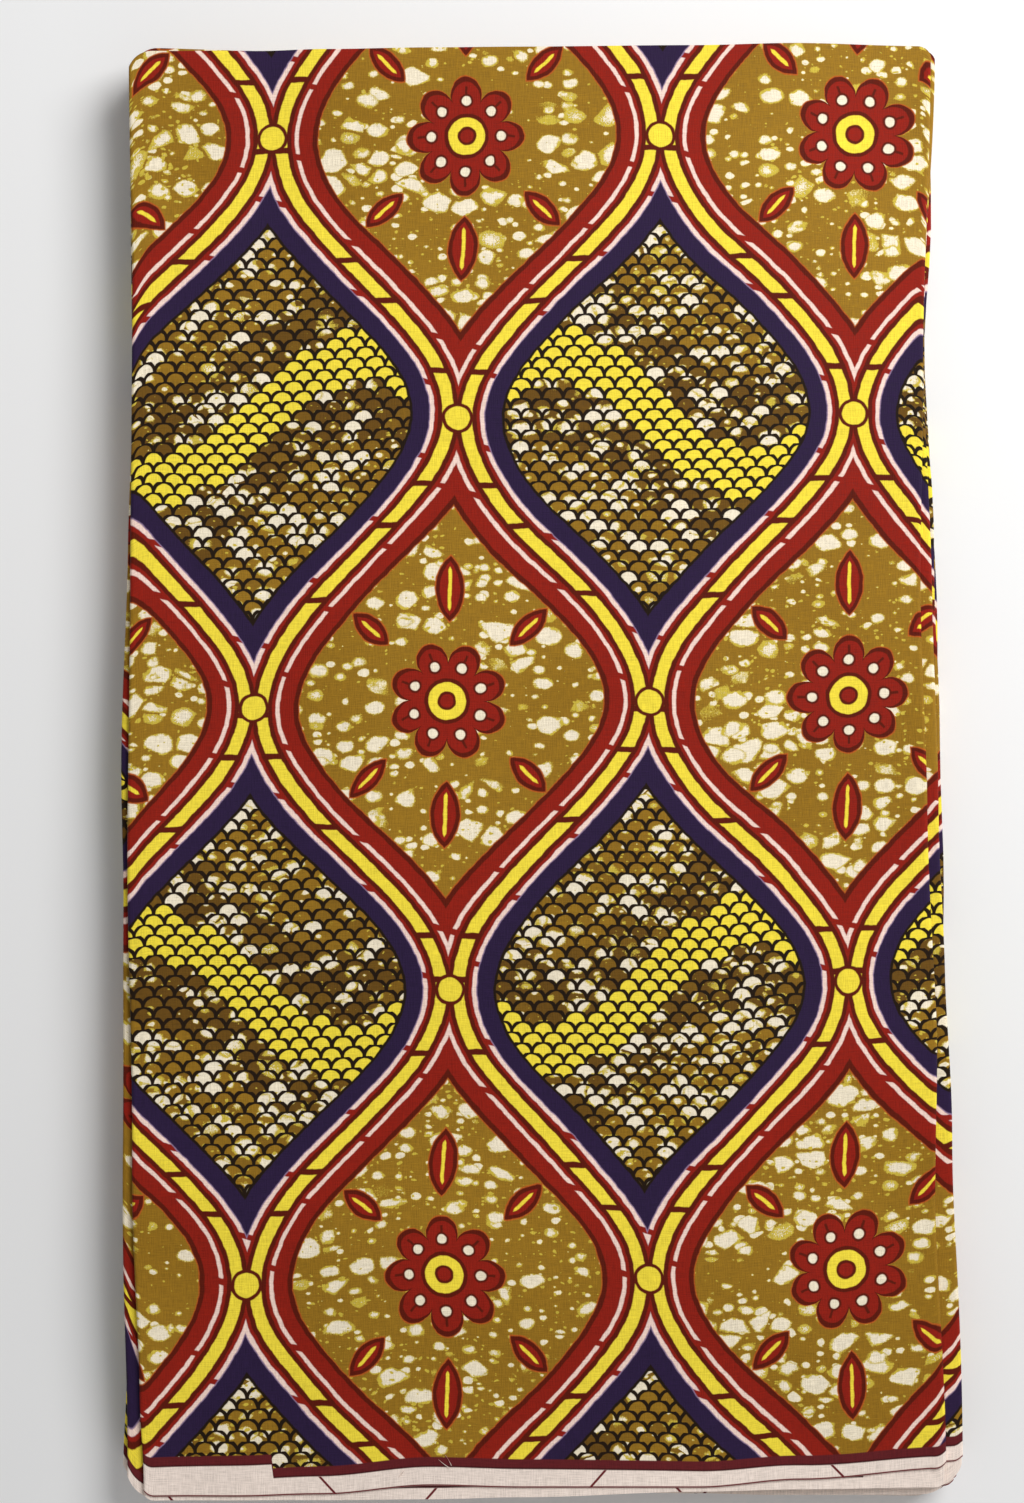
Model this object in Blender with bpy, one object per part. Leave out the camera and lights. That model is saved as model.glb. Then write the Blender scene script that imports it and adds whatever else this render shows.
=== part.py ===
"""A folded length of wax-printed cotton, lying flat.

The cloth is doubled across its width, so that the crease is at +Y and both
selvedges are at -Y. The doubled cloth is fan-folded along its length into laps
that lie on each other, and its last end is turned under the top lap at -X.

Frame: +Z up, +X to the right and +Y to the crease, the origin in the middle of
the underside. Lengths below are in millimetres, and the meshes are in metres.
A level counts laps downwards: 0 is the upper face, LAPS is the underside, and
fold 1 lies between the first lap, whose middle is at level 0.5, and the second.
"""
from collections import namedtuple
import math
import bpy
import numpy as np

METRE = 0.001            # one millimetre, in metres

# The pile of laps
LAPS = 17                # the doubled cloth lies this many times on itself
FRONT_LAPS = 4           # the top laps are one wall, folded to and fro
PITCH = 1.35             # height that one lap of doubled cloth takes up
GAP = 0.32               # air between one lap and the next
TUCK_LENGTH = 30.0       # the cloth's end, turned under the top lap
TUCK_SLOPE = 32.0        # over this length the top lap comes down from the tuck

# The bundle's sides and its mean ends
LEFT_X = -168.8
RIGHT_X = 168.4
CREASE_Y = 291.6
SELVEDGE_Y = -291.6

# How the pile's height changes over the bundle
SIDE_PUFF = 1.6          # the folds at the sides spring open
SIDE_PUFF_REACH = 20.0
CREASE_PUFF = 1.0        # the creases spring open less
CREASE_PUFF_REACH = 14.0
OPEN_END_DROP = 1.3      # the selvedges lie closer together
OPEN_END_REACH = 70.0

# Roundings and grooves
CREASE_CORNER = 6.0      # radius of the corners at the crease, seen from above
SELVEDGE_CORNER = 4.5    # radius of the corners at the selvedges
SIDE_GROOVE = 2.4        # depth of the groove between two side folds
END_GROOVE = 1.0         # depth of the groove between two laps' ends

# Where the top side folds lie: y, then how far in from the bundle's side
TOP_FOLDS = (
    ((291, 1.7), (190, 3.9), (80, 3.7), (-25, 3.4), (-160, 6.0), (-255, 9.0), (-291, 10.8)),
    ((291, 9.4), (160, 13.3), (65, 15.0), (-25, 13.0), (-125, 10.2), (-185, 10.8), (-291, 7.3)),
    ((291, 1.7), (150, 3.6), (90, 2.2), (0, 0.2), (-60, 1.5), (-160, 1.9), (-291, 3.9)),
    ((291, 7.4), (170, 12.8), (65, 10.0), (-25, 8.0), (-95, 6.1), (-160, 3.6), (-291, 0.0)),
)

# The folds below them: how far in at the crease, at the selvedges
LOWER_FOLDS = (
    (3.2, 4.8), (10.4, 3.2), (5.4, 2.6), (8.2, 5.6), (2.2, 5.2), (11.6, 2.0), (4.6, 3.4),
    (7.6, 6.2), (2.8, 6.0), (9.8, 4.0), (3.8, 4.2), (8.8, 2.8), (1.6, 3.0), (9.0, 4.4),
)

# The ends of the top lap: x, then y of the crease, of the short ply's edge and of the long ply's
TOP_LAP = (
    (-168, 289.1, -291.6, -293.2), (-119, 289.8, -291.6, -293.2), (-87, 290.8, -290.8, -293.2),
    (-44, 291.5, -287.3, -292.8), (-8, 291.8, -288.1, -292.0), (63, 292.4, -288.1, -289.8),
    (103, 293.3, -285.0, -288.9), (168, 291.4, -280.0, -287.8),
)

# The ends of the laps at each fold, from fold 1 down: y of the crease, the short ply, the long ply
FOLD_ENDS = (
    (291.4, -280.0, -287.8), (289.6, -289.4, -292.6), (290.6, -284.8, -288.6), (291.8, -287.2, -290.6),
    (289.8, -288.4, -292.0), (291.0, -286.0, -290.2), (292.2, -289.8, -292.8), (290.2, -287.0, -289.6),
    (289.4, -288.8, -292.4), (291.4, -285.6, -290.0), (290.4, -289.0, -291.4), (292.0, -287.6, -292.6),
    (289.6, -286.2, -289.2), (290.8, -289.6, -292.2), (291.6, -288.0, -290.8), (290.0, -286.6, -291.6),
    (291.0, -288.6, -292.0),
)

# Soft waves of the upper laps: x, y, length, width, turn in degrees, rise
WAVES = (
    (118, -128, 170, 52, 12, 2.2),
    (126, -190, 130, 48, 8, -1.1),
    (-40, 150, 280, 90, -8, 0.9),
    (60, 40, 320, 80, 70, 0.8),
    (-105, -60, 240, 76, 82, -0.8),
    (20, -215, 260, 70, -4, 1.0),
    (-140, -262, 140, 70, 30, -2.6),
)

# Fineness of the meshes
FOLD_STEPS = 5           # round a side fold
COLUMNS = 10             # across a lap, between its corners
ROWS = 15                # from the crease to the selvedges
CORNER_SHARES = (0.0, 0.16, 0.5, 1.0)     # columns through a rounded corner
CREASE_DEPTHS = (0.0, 0.25, 0.8)          # rows round a crease, how far in
CREASE_SHARES = (0.4, 0.85)               # and how thick the wall is there, as a share

CLOTH_COLOUR = (0.33, 0.16, 0.04, 1.0)
CLOTH_ROUGHNESS = 0.6

# One column of a wall's middle, from crease to selvedge: its place, half its thickness, the way to
# its short ply, y of its ends in the order of FOLD_ENDS, and its distance from the nearest side
Column = namedtuple("Column", "x z half normal_x normal_z ends from_side")


def clear_scene():
    """Remove every object, so that the script also runs in an open file."""
    for thing in list(bpy.data.objects):
        bpy.data.objects.remove(thing, do_unlink=True)


def cloth_material():
    """Printed cotton, in the print's mean colour."""
    material = bpy.data.materials.new("printed_cotton")
    material.use_nodes = True
    shader = material.node_tree.nodes["Principled BSDF"]
    shader.inputs["Base Color"].default_value = CLOTH_COLOUR
    shader.inputs["Roughness"].default_value = CLOTH_ROUGHNESS
    shader.inputs["Metallic"].default_value = 0.0
    return material


def cut_faces(points, faces):
    """Cut each face with four corners in two, along the diagonal that rises most in x + y.

    The faces of laps that lie on each other are then cut alike, so that the air between them stays even.
    """
    rise = points[:, 0] + points[:, 1]
    triangles = []
    for a, b, c, d in faces:
        if abs(rise[a] - rise[c]) > abs(rise[b] - rise[d]):
            triangles += [(a, b, c), (a, c, d)]
        else:
            triangles += [(b, c, d), (b, d, a)]
    return triangles


def new_object(name, points, faces, material):
    """One closed object from its points, in millimetres, and its faces with four corners."""
    mesh = bpy.data.meshes.new(name)
    mesh.from_pydata((points * METRE).tolist(), [], cut_faces(points, faces))
    mesh.materials.append(material)
    mesh.shade_smooth()
    mesh.set_sharp_from_angle(angle=math.radians(40.0))
    thing = bpy.data.objects.new(name, mesh)
    bpy.context.scene.collection.objects.link(thing)


def ease(share):
    """Go from 0 to 1 with a soft start and a soft end."""
    share = np.clip(share, 0.0, 1.0)
    return share * share * (3.0 - 2.0 * share)


def curve(table, at, column=1):
    """Read a table as a smooth curve: between two rows the value eases in and out."""
    rows = np.array(sorted(table), dtype=float)
    at = np.clip(at, rows[0, 0], rows[-1, 0])
    row = np.clip(np.searchsorted(rows[:, 0], at, side="right") - 1, 0, len(rows) - 2)
    share = ease((at - rows[row, 0]) / (rows[row + 1, 0] - rows[row, 0]))
    return rows[row, column] + share * (rows[row + 1, column] - rows[row, column])


def left_fold(level):
    """The fold that closes the left side at a level: left folds have even numbers."""
    return 2 * round(level / 2.0)


def right_fold(level):
    """The fold that closes the right side at a level: right folds have odd numbers."""
    return 2 * round((level - 1.0) / 2.0) + 1


def fold_x(fold, y):
    """x of a fold's outer face."""
    if fold < len(TOP_FOLDS):
        inset = curve(TOP_FOLDS[fold], y)
    else:
        at_crease, at_selvedge = LOWER_FOLDS[fold - len(TOP_FOLDS)]
        inset = at_crease + (at_selvedge - at_crease) * (CREASE_Y - y) / (CREASE_Y - SELVEDGE_Y)
    return LEFT_X + inset if fold % 2 == 0 else RIGHT_X - inset


def groove(distance, depth):
    """How far a round bulge falls back: 0 at its middle, and its depth at distance 1."""
    return depth * (1.0 - math.sqrt(max(0.0, 1.0 - distance ** 2)))


def corner_cut(from_side, radius):
    """How far a quarter circle cuts back a lap's end near its sides."""
    inside = np.clip(radius - from_side, 0.0, radius)
    return radius - np.sqrt(radius ** 2 - inside ** 2)


def lap_ends(lap, x):
    """y of a lap's crease and of its plies' edges, carried from its left fold to its right fold."""
    if lap == 0:
        return [curve(TOP_LAP, x, column) for column in (1, 2, 3)]
    left = FOLD_ENDS[left_fold(lap + 0.5) - 1]
    right = FOLD_ENDS[right_fold(lap + 0.5) - 1]
    share = (x - LEFT_X) / (RIGHT_X - LEFT_X)
    return [at_left + (at_right - at_left) * share for at_left, at_right in zip(left, right)]


def wave_height(x, y):
    """Sum of the waves, each a long soft mound or trough with a bell-shaped section."""
    total = 0.0
    for centre_x, centre_y, length, width, turn, rise in WAVES:
        angle = math.radians(turn)
        along = (x - centre_x) * math.cos(angle) + (y - centre_y) * math.sin(angle)
        across = (y - centre_y) * math.cos(angle) - (x - centre_x) * math.sin(angle)
        total = total + rise * np.exp(-(2.0 * along / length) ** 2 - (2.0 * across / width) ** 2)
    return total


def height(level, x, y):
    """z of a level: its share of the pile with the puffed folds, and the waves, which fade downwards."""
    from_side = np.minimum(x - LEFT_X, RIGHT_X - x)
    full = LAPS * PITCH + SIDE_PUFF * np.exp(-(from_side / SIDE_PUFF_REACH) ** 2)
    full = full + CREASE_PUFF * np.exp(-((CREASE_Y - y) / CREASE_PUFF_REACH) ** 2)
    full = full - OPEN_END_DROP * np.exp(-((y - SELVEDGE_Y) / OPEN_END_REACH) ** 2)
    share = 1.0 - level / LAPS
    return share * full + share ** 2 * wave_height(x, y)


def lap_height(level, x, y):
    """Height that one lap takes up around a level."""
    return height(level - 0.5, x, y) - height(level + 0.5, x, y)


def tuck_lift(x, y):
    """How far the top lap lies higher over the end that is turned under it."""
    tuck_end = fold_x(0, y) + TUCK_LENGTH
    return lap_height(0.5, x, y) * ease((tuck_end + TUCK_SLOPE - x) / TUCK_SLOPE)


def row_shares():
    """Rows from the crease to the selvedges, as shares of the way, with those round the crease."""
    round_rows = [depth / (CREASE_Y - SELVEDGE_Y) for depth in CREASE_DEPTHS]
    return np.concatenate([round_rows, np.arange(1, ROWS + 1) / ROWS])


def lap_shares():
    """Columns of a lap, closer together through its corners, as shares of its length."""
    corner = CREASE_CORNER / (RIGHT_X - LEFT_X)
    ends = np.array(CORNER_SHARES) * corner
    between = np.linspace(corner, 1.0 - corner, COLUMNS + 2)[1:-1]
    return np.concatenate([ends, between, 1.0 - ends[::-1]])


def run(lap, shares, y, facing):
    """Columns of one lap, from left to right. The wall stops where its side folds begin to turn."""
    level = lap + 0.5
    left_x = fold_x(left_fold(level), y)
    right_x = fold_x(right_fold(level), y)
    turn = PITCH - 0.5 * GAP
    columns = []
    for share in shares:
        x = left_x + turn + (right_x - left_x - 2.0 * turn) * share
        lift = tuck_lift(x, y) if lap == 0 else 0.0
        half = 0.5 * (lap_height(level, x, y) - GAP)
        from_side = np.minimum(x - left_x, right_x - x)
        columns.append(Column(x, height(level, x, y) + lift, half, 0.0, facing, lap_ends(lap, x), from_side))
    return columns


def turned_end(above, y):
    """Columns of the end that is turned under the top lap, from its fold inwards."""
    columns = []
    for share in (0.0, 0.3, 0.65, 1.0):
        x = above.x + share * TUCK_LENGTH
        half = 0.5 * (lap_height(0.5, x, y) - GAP)
        from_side = above.from_side + share * TUCK_LENGTH
        columns.append(Column(x, height(0.5, x, y), half, 0.0, -1.0, lap_ends(0, x), from_side))
    return columns


def fold(above, below, number, y):
    """Columns of a side fold: half a circle from the lap above to the lap below."""
    side = -1.0 if number % 2 == 0 else 1.0
    radius = 0.5 * (above.z - below.z)
    columns = []
    for step in range(1, FOLD_STEPS):
        share = step / FOLD_STEPS
        out = side * math.sin(math.pi * share)
        up = math.cos(math.pi * share)
        x = above.x + out * radius
        z = below.z + radius * (1.0 + up)
        ends = [high + (low - high) * share for high, low in zip(above.ends, below.ends)]
        from_side = np.maximum(0.0, side * (fold_x(number, y) - x))
        half = radius - 0.5 * GAP
        columns.append(Column(x, z, half, above.normal_z * out, above.normal_z * up, ends, from_side))
    return columns


def front_wall(y):
    """All columns of the top laps, from the turned-under end to the end of the last of them."""
    laps = []
    for lap in range(FRONT_LAPS):
        shares = lap_shares()
        if lap == FRONT_LAPS - 1:
            shares = shares[len(CORNER_SHARES):]
        laps.append(run(lap, shares, y, 1.0 if lap % 2 == 0 else -1.0))
    tuck = turned_end(laps[0][0], y)
    columns = tuck[::-1] + fold(laps[0][0], tuck[0], 0, y)[::-1] + laps[0]
    for lap in range(1, FRONT_LAPS):
        to_left = lap % 2 == 1
        at = -1 if to_left else 0
        columns += fold(laps[lap - 1][at], laps[lap][at], lap, y)
        columns += laps[lap][::-1] if to_left else laps[lap]
    return columns


def section(column, shares):
    """Points round one column: down the short ply, across the step and back up the long ply."""
    thickness = np.ones(len(shares))
    thickness[:len(CREASE_SHARES)] = CREASE_SHARES
    crease = column.ends[0] - corner_cut(column.from_side, CREASE_CORNER)
    points = []
    for edge, facing in ((column.ends[1], 1.0), (column.ends[2], -1.0)):
        edge = edge + corner_cut(column.from_side, SELVEDGE_CORNER)
        y = crease + (edge - crease) * shares
        offset = facing * column.half * thickness
        ply = np.stack([column.x + column.normal_x * offset, y, column.z + column.normal_z * offset], axis=1)
        step = np.array([[column.x[-1], y[-1], column.z[-1]]])
        points += [ply, step] if facing > 0.0 else [step, ply[::-1]]
    return np.concatenate(points)


def wall(name, columns, shares, material):
    """A closed wall of cloth: the sections of its columns, joined to each other and closed at both ends."""
    rings = np.array([section(column, shares) for column in columns])
    count = rings.shape[1]
    rows = len(shares)

    def index(column, point):
        return column * count + point % count

    faces = []
    for column in range(len(columns) - 1):
        for point in range(count):
            faces.append((index(column, point), index(column, point + 1),
                          index(column + 1, point + 1), index(column + 1, point)))
    last = len(columns) - 1
    for row in range(rows):
        opposite = count - 1 - row
        faces.append((index(0, row), index(0, opposite), index(0, opposite - 1), index(0, row + 1)))
        faces.append((index(last, row), index(last, row + 1), index(last, opposite - 1), index(last, opposite)))
    new_object(name, rings.reshape(-1, 3), faces, material)


def plan_grid(level, shares):
    """x and y of a lap's outline at a level, on a grid of columns and rows.

    Between two laps, at a whole level, the sides and the ends fall back into a groove.
    """
    y = CREASE_Y + (SELVEDGE_Y - CREASE_Y) * shares
    left, right = left_fold(level), right_fold(level)
    left_x = fold_x(left, y) + groove(level - left, SIDE_GROOVE)
    right_x = fold_x(right, y) - groove(level - right, SIDE_GROOVE)
    x = left_x + (right_x - left_x) * lap_shares()[:, None]
    laps = (math.ceil(level) - 1, min(math.floor(level), LAPS - 1))
    above, below = [lap_ends(lap, x) for lap in laps]
    crease = 0.5 * (above[0] + below[0])
    edge = 0.5 * (above[2] + below[2])
    from_side = np.minimum(x - left_x, right_x - x)
    back = END_GROOVE if laps[0] != laps[1] else 0.0
    crease = crease - back - corner_cut(from_side, CREASE_CORNER)
    edge = edge + back + corner_cut(from_side, SELVEDGE_CORNER)
    return x, crease + (edge - crease) * shares


def pile(name, top_level, low_level, material):
    """Laps that lie on each other as one rounded solid, with a bulge for each fold and lap on its sides."""
    shares = np.arange(ROWS + 1) / ROWS
    levels = np.arange(top_level, low_level + 0.25, 0.5)
    grids = []
    for level in levels:
        x, y = plan_grid(level, shares)
        z = height(level, x, y)
        if level == top_level:
            z = z - 0.5 * GAP
        elif level == low_level and level < LAPS:
            z = z + 0.5 * GAP
        grids.append(np.stack([x, y, z], axis=2))
    columns, rows = grids[0].shape[:2]
    border = [(0, row) for row in range(rows)]
    border += [(column, rows - 1) for column in range(1, columns)]
    border += [(columns - 1, row) for row in range(rows - 2, -1, -1)]
    border += [(column, 0) for column in range(columns - 2, 0, -1)]
    top = grids[0].reshape(-1, 3)
    low = grids[-1].reshape(-1, 3)
    between = [np.array([grid[place] for place in border]) for grid in grids[1:-1]]
    points = np.concatenate([top, low] + between)

    ring_numbers = [[column * rows + row for column, row in border]]
    for number in range(len(between)):
        start = 2 * len(top) + number * len(border)
        ring_numbers.append(list(range(start, start + len(border))))
    ring_numbers.append([len(top) + column * rows + row for column, row in border])

    faces = []
    for column in range(columns - 1):
        for row in range(rows - 1):
            a = column * rows + row
            quad = (a, a + 1, a + rows + 1, a + rows)
            faces.append(quad)
            faces.append(tuple(len(top) + corner for corner in reversed(quad)))
    for above, below in zip(ring_numbers, ring_numbers[1:]):
        for at in range(len(border)):
            after = (at + 1) % len(border)
            faces.append((above[at], below[at], below[after], above[after]))
    new_object(name, points, faces, material)


def build():
    """Make the top laps, the laps inside the pile and the lowest lap."""
    clear_scene()
    cotton = cloth_material()
    shares = row_shares()
    y = CREASE_Y + (SELVEDGE_Y - CREASE_Y) * shares
    wall("front_folds", front_wall(y), shares, cotton)
    pile("inner_folds", FRONT_LAPS, LAPS - 1, cotton)
    pile("back_lap", LAPS - 1, LAPS, cotton)


build()
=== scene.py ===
"""A folded length of wax-printed cotton, lying flat on a pale floor.

The cloth is one sheet. It is doubled across its width, with the crease at +Y and both selvedges
at -Y, and the doubled cloth is fan-folded along its length into laps that lie on each other.
"""
import math
from collections import namedtuple

import bpy
import numpy as np
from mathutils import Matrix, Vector


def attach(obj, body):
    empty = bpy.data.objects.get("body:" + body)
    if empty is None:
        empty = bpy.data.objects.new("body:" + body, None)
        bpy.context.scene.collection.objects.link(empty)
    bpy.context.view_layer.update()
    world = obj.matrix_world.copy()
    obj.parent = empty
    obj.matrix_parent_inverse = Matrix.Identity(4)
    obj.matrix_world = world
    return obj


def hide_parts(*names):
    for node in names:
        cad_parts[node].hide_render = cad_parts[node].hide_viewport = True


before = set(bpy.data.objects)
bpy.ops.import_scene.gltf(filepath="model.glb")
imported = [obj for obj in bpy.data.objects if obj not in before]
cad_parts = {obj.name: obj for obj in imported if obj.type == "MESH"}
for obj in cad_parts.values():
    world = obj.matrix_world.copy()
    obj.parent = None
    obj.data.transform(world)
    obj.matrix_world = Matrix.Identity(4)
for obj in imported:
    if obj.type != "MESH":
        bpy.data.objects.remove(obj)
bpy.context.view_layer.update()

# Lengths are in millimetres up to the meshes, which are in metres
METRE = 0.001

CLOTH_WIDTH = 1168.0
PLY = 0.30  # thickness of one ply

# The pile, as in the solids
LAPS = 17
PITCH = 1.35  # height that one lap of doubled cloth takes up
GAP = 0.32  # air between one lap and the next
FOLD_REACH = PITCH - 0.5 * GAP  # from where a side fold begins to turn out to its face
FRONT_LAPS = 4
TUCK_LENGTH = 30.0  # the cloth's end, turned under the top lap
TUCK_SLOPE = 32.0  # length over which the top lap comes down from it
LEFT_X, RIGHT_X = -168.8, 168.4
CREASE_Y, SELVEDGE_Y = 291.6, -291.6

# How far the pile puffs up at its sides and crease and sinks at its open end, and how far in
SIDE_PUFF, SIDE_PUFF_REACH = 1.6, 20.0
CREASE_PUFF, CREASE_PUFF_REACH = 1.0, 14.0
OPEN_END_DROP, OPEN_END_REACH = 1.3, 70.0

# Radius of the laps' rounded corners
CREASE_CORNERS = 9.4, 5.4  # at the left and at the right
SELVEDGE_CORNER = 4.5  # of the top lap, and of every short ply at the right
LOWER_CORNER = 13.5  # of the laps under the top one, elsewhere

# Where the top side folds lie: y, then how far in from the bundle's side
TOP_FOLDS = (
    ((291, 1.7), (190, 3.9), (80, 3.7), (-25, 3.4), (-160, 6.0), (-255, 9.0), (-291, 10.8)),
    ((291, 9.4), (160, 13.3), (65, 15.0), (-25, 13.0), (-125, 10.2), (-185, 10.8), (-291, 7.3)),
    ((291, 1.7), (150, 3.6), (90, 2.2), (0, 0.2), (-60, 1.5), (-160, 1.9), (-291, 3.9)),
    ((291, 7.4), (170, 12.8), (65, 10.0), (-25, 8.0), (-95, 6.1), (-160, 3.6), (-291, 0.0)),
)

# The folds below them: how far in at the crease, at the selvedges
LOWER_FOLDS = (
    (3.2, 4.8), (10.4, 3.2), (5.4, 2.6), (8.2, 5.6), (2.2, 5.2), (11.6, 2.0), (4.6, 3.4),
    (7.6, 6.2), (2.8, 6.0), (9.8, 4.0), (3.8, 4.2), (8.8, 2.8), (1.6, 3.0), (9.0, 4.4),
)

# Waves of the lower folds along y, and of the laps' ends along x: size, length, phase to the next
FOLD_WAVES = ((0.5, 31.0, 2.4), (0.3, 12.0, 1.7))
END_WAVES = ((0.5, 43.0, 2.1), (0.3, 17.0, 1.3))

# Ripples of the inner laps, along x at the pile's ends and along y at its sides: the same columns
END_RIPPLES = ((1.0, 31.0, 0.45), (0.6, 17.0, -0.6))
SIDE_RIPPLES = ((1.0, 37.0, -0.4), (0.6, 21.0, 0.55))
RIPPLE, RIPPLE_REACH = 0.34, 32.0
CREASE_RIPPLE = 0.7  # share of them at the crease

# How the lower right folds draw in near the crease: how far, y of the middle, reach
DRAWN_IN, DRAWN_IN_Y, DRAWN_IN_REACH = 3.6, 165.0, 50.0

# The ends of the top lap: x, then y of the crease, of the short ply's edge and of the long ply's
TOP_LAP = (
    (-168, 289.1, -291.6, -293.2), (-119, 289.8, -291.6, -293.2), (-87, 290.8, -290.8, -293.2),
    (-44, 291.5, -287.3, -292.8), (-8, 291.8, -288.1, -292.0), (63, 292.4, -288.1, -289.8),
    (103, 293.3, -285.0, -288.9), (168, 291.4, -280.0, -287.8),
)

# The ends of the laps at each fold, from fold 1 down: y of the crease, the short ply, the long ply
FOLD_ENDS = (
    (291.4, -280.0, -287.8), (289.6, -289.4, -292.6), (290.6, -278.4, -288.6), (291.8, -287.2, -290.6),
    (289.8, -288.4, -292.0), (291.0, -286.0, -290.2), (292.2, -289.8, -292.8), (290.2, -287.0, -289.6),
    (289.4, -288.8, -292.4), (291.4, -285.6, -290.0), (290.4, -289.0, -291.4), (292.0, -287.6, -292.6),
    (289.6, -286.2, -289.2), (290.8, -289.6, -292.2), (291.6, -288.0, -290.8), (290.0, -286.6, -291.6),
    (291.0, -288.6, -292.0),
)

# Soft waves of the upper laps: x, y, length, width, turn in degrees, rise
WAVES = (
    (118, -128, 170, 52, 12, 2.2), (126, -190, 130, 48, 8, -1.1), (-40, 150, 280, 90, -8, 0.9),
    (60, 40, 320, 80, 70, 0.8), (-105, -60, 240, 76, 82, -0.8), (20, -215, 260, 70, -4, 1.0),
    (-140, -262, 140, 70, 30, -2.6),
)

# Small creases of the upper ply, in the same columns
CREASES = (
    (132, -150, 90, 13, 14, 0.42), (96, -112, 120, 12, 6, 0.26), (150, -60, 110, 11, 84, 0.30),
    (-152, 20, 180, 12, 88, 0.26), (-140, -150, 130, 12, 80, 0.24), (-60, 268, 120, 10, 3, 0.22),
    (84, 272, 90, 9, -4, 0.22), (-20, -262, 110, 11, 4, 0.35), (70, -268, 80, 10, -6, 0.28),
    (14, 60, 420, 9, 90, 0.16), (-88, 120, 300, 12, 92, 0.14), (30, -40, 200, 14, 24, 0.16),
    (-30, -120, 260, 16, -14, 0.20), (60, 190, 180, 14, 16, 0.18), (110, 120, 150, 12, -30, 0.16),
    (-110, 210, 120, 12, 40, 0.18), (-70, -200, 150, 12, 18, 0.24), (20, -180, 170, 13, -22, 0.18),
)

# Where the upper ply's edge stands off the lower ply: x, then rise
SELVEDGE_RISE = (
    (-168, 0.1), (-130, 0.3), (-96, 0.9), (-60, 0.3), (-10, 0.7), (40, 0.15), (86, 0.8), (130, 0.3),
    (168, 0.6),
)
SELVEDGE_RISE_REACH = 9.0
TOP_FACE = 22.0  # the pile's upper face lies above this height
LEVEL = 0.99  # least z of a normal that points straight up

# Grids: shares of a corner, distances from a ply's two ends, then numbers of rows and columns
CORNER_SHARES = (0.0, 0.04, 0.1, 0.18, 0.28, 0.4, 0.55, 0.75, 1.0)
NEAR_END = (0.0, 0.04, 0.12, 0.25, 0.5, 1.0, 2.2, 5.0, 9.0)
TOP_ROWS, FRONT_ROWS, HIDDEN_ROWS = 112, 56, 36  # the first for the short ply of the front laps alone
TOP_COLUMNS, LAP_COLUMNS, TUCK_COLUMNS = 80, 9, 7
FOLD_STEPS = 8

# The stretches part ten columns into a lap, well inside the pile
UP_TO_SPLIT, FROM_SPLIT, REVERSED = slice(0, 10), slice(9, None), slice(None, None, -1)
TOP_MIDDLE, TOP_START = 50, 190.0  # a column of the front stretch, and the cloth's length up to it

# The camera stands on the selvedge side and looks almost straight down
IMAGE_HEIGHT = 1503
PIXELS_PER_METRE = 2490.0
CAMERA_DISTANCE = 1.0
CAMERA_TILT = math.radians(2.67)
AIM = (-0.0114, 0.0045, 0.024)
SENSOR = 36.0

# Colours of the print, as the eye reads them on a scale to 255
OCHRE = (155, 115, 30)
OLIVE = (142, 104, 24)
BROWN = (106, 74, 20)
BLACK = (32, 18, 4)
YELLOW = (250, 226, 66)
RED = (146, 29, 14)
ORANGE = (188, 92, 30)
FRINGE = (208, 184, 66)
MAROON = (94, 21, 3)
BORDER_RED = (100, 30, 34)
MARK_RED = (106, 20, 28)
CREAM = (248, 235, 208)
SPECK = (196, 176, 132)
ROSE_WHITE = (250, 220, 206)
NAVY = (43, 27, 62)
LILAC = (150, 126, 160)
BARE_COTTON = (246, 229, 217)

# The print's layout, in millimetres on the cloth
COLUMN = 80.0  # from one winding ribbon to the next
REPEAT = 232.0  # height of a repeat
SWING = 36.5  # how far a ribbon swings to each side
PRINT_START = 30.0  # how far into a repeat the selvedge lies
SLANT = 0.022  # how far the print leans, because the cloth is folded a little off its grain
SOFT, SHARP = 0.40, 0.05  # widths over which one colour meets the next
STEADY = 0.25  # added before rounding, to stay clear of the halves

# Noise over the cloth: how fine, how detailed, how rough, and how far it pulls the print aside
DRIFT_NOISE, DRIFT = (0.012, 1.0), 5.0
CRUMPLE_NOISE, CRUMPLE = (0.17, 2.0, 0.6), 0.9
GRAIN_NOISE = (1.6, 2.0, 0.7)

# The frame from a field to the ribbon's middle: how far out each colour reaches, how much further
# round scales, and its colours by flowers and by scales
FRAME = (
    (15.2, 0.0, ORANGE, BLACK), (14.8, 0.0, MAROON, BLACK), (12.8, 1.3, RED, NAVY), (7.5, 0.0, RED, LILAC),
)
LINE_IN, LINE_OUT = 5.5, 7.1  # the dashed line beside the ribbon
DASH_EVERY, DASH_LEAN = 30.0, 0.25
RIBBON_EDGE, RIBBON = 4.1, 2.3  # half the width of its dark edges and of its yellow
TIES = ((0.0, 46.0), (6.0, 92.0))  # dark ties across it: the first one's place, how far apart
BREAK = 2.4  # width of a tie, and of the gap between two dashes
KNOT = ((6.2, MAROON), (4.8, YELLOW))  # where two ribbons meet: radius, colour

# The flower: radius and colour of its petals' edges, its rings, and the dot on each petal
PETALS = 8
PETAL_WAIST, PETAL_ROUND = 0.64, 0.6
PETAL_EDGES = ((24.5, ORANGE), (24.0, MAROON), (21.9, RED))
RINGS = ((9.2, MAROON), (7.6, YELLOW), (3.8, MAROON), (2.7, RED))
DOT_AT, DOT = 14.4, ((2.8, MAROON), (1.9, CREAM))
VEIN, VEIN_IN, VEIN_OUT = 0.5, 16.8, 20.2  # half its width, then from where to where

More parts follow.
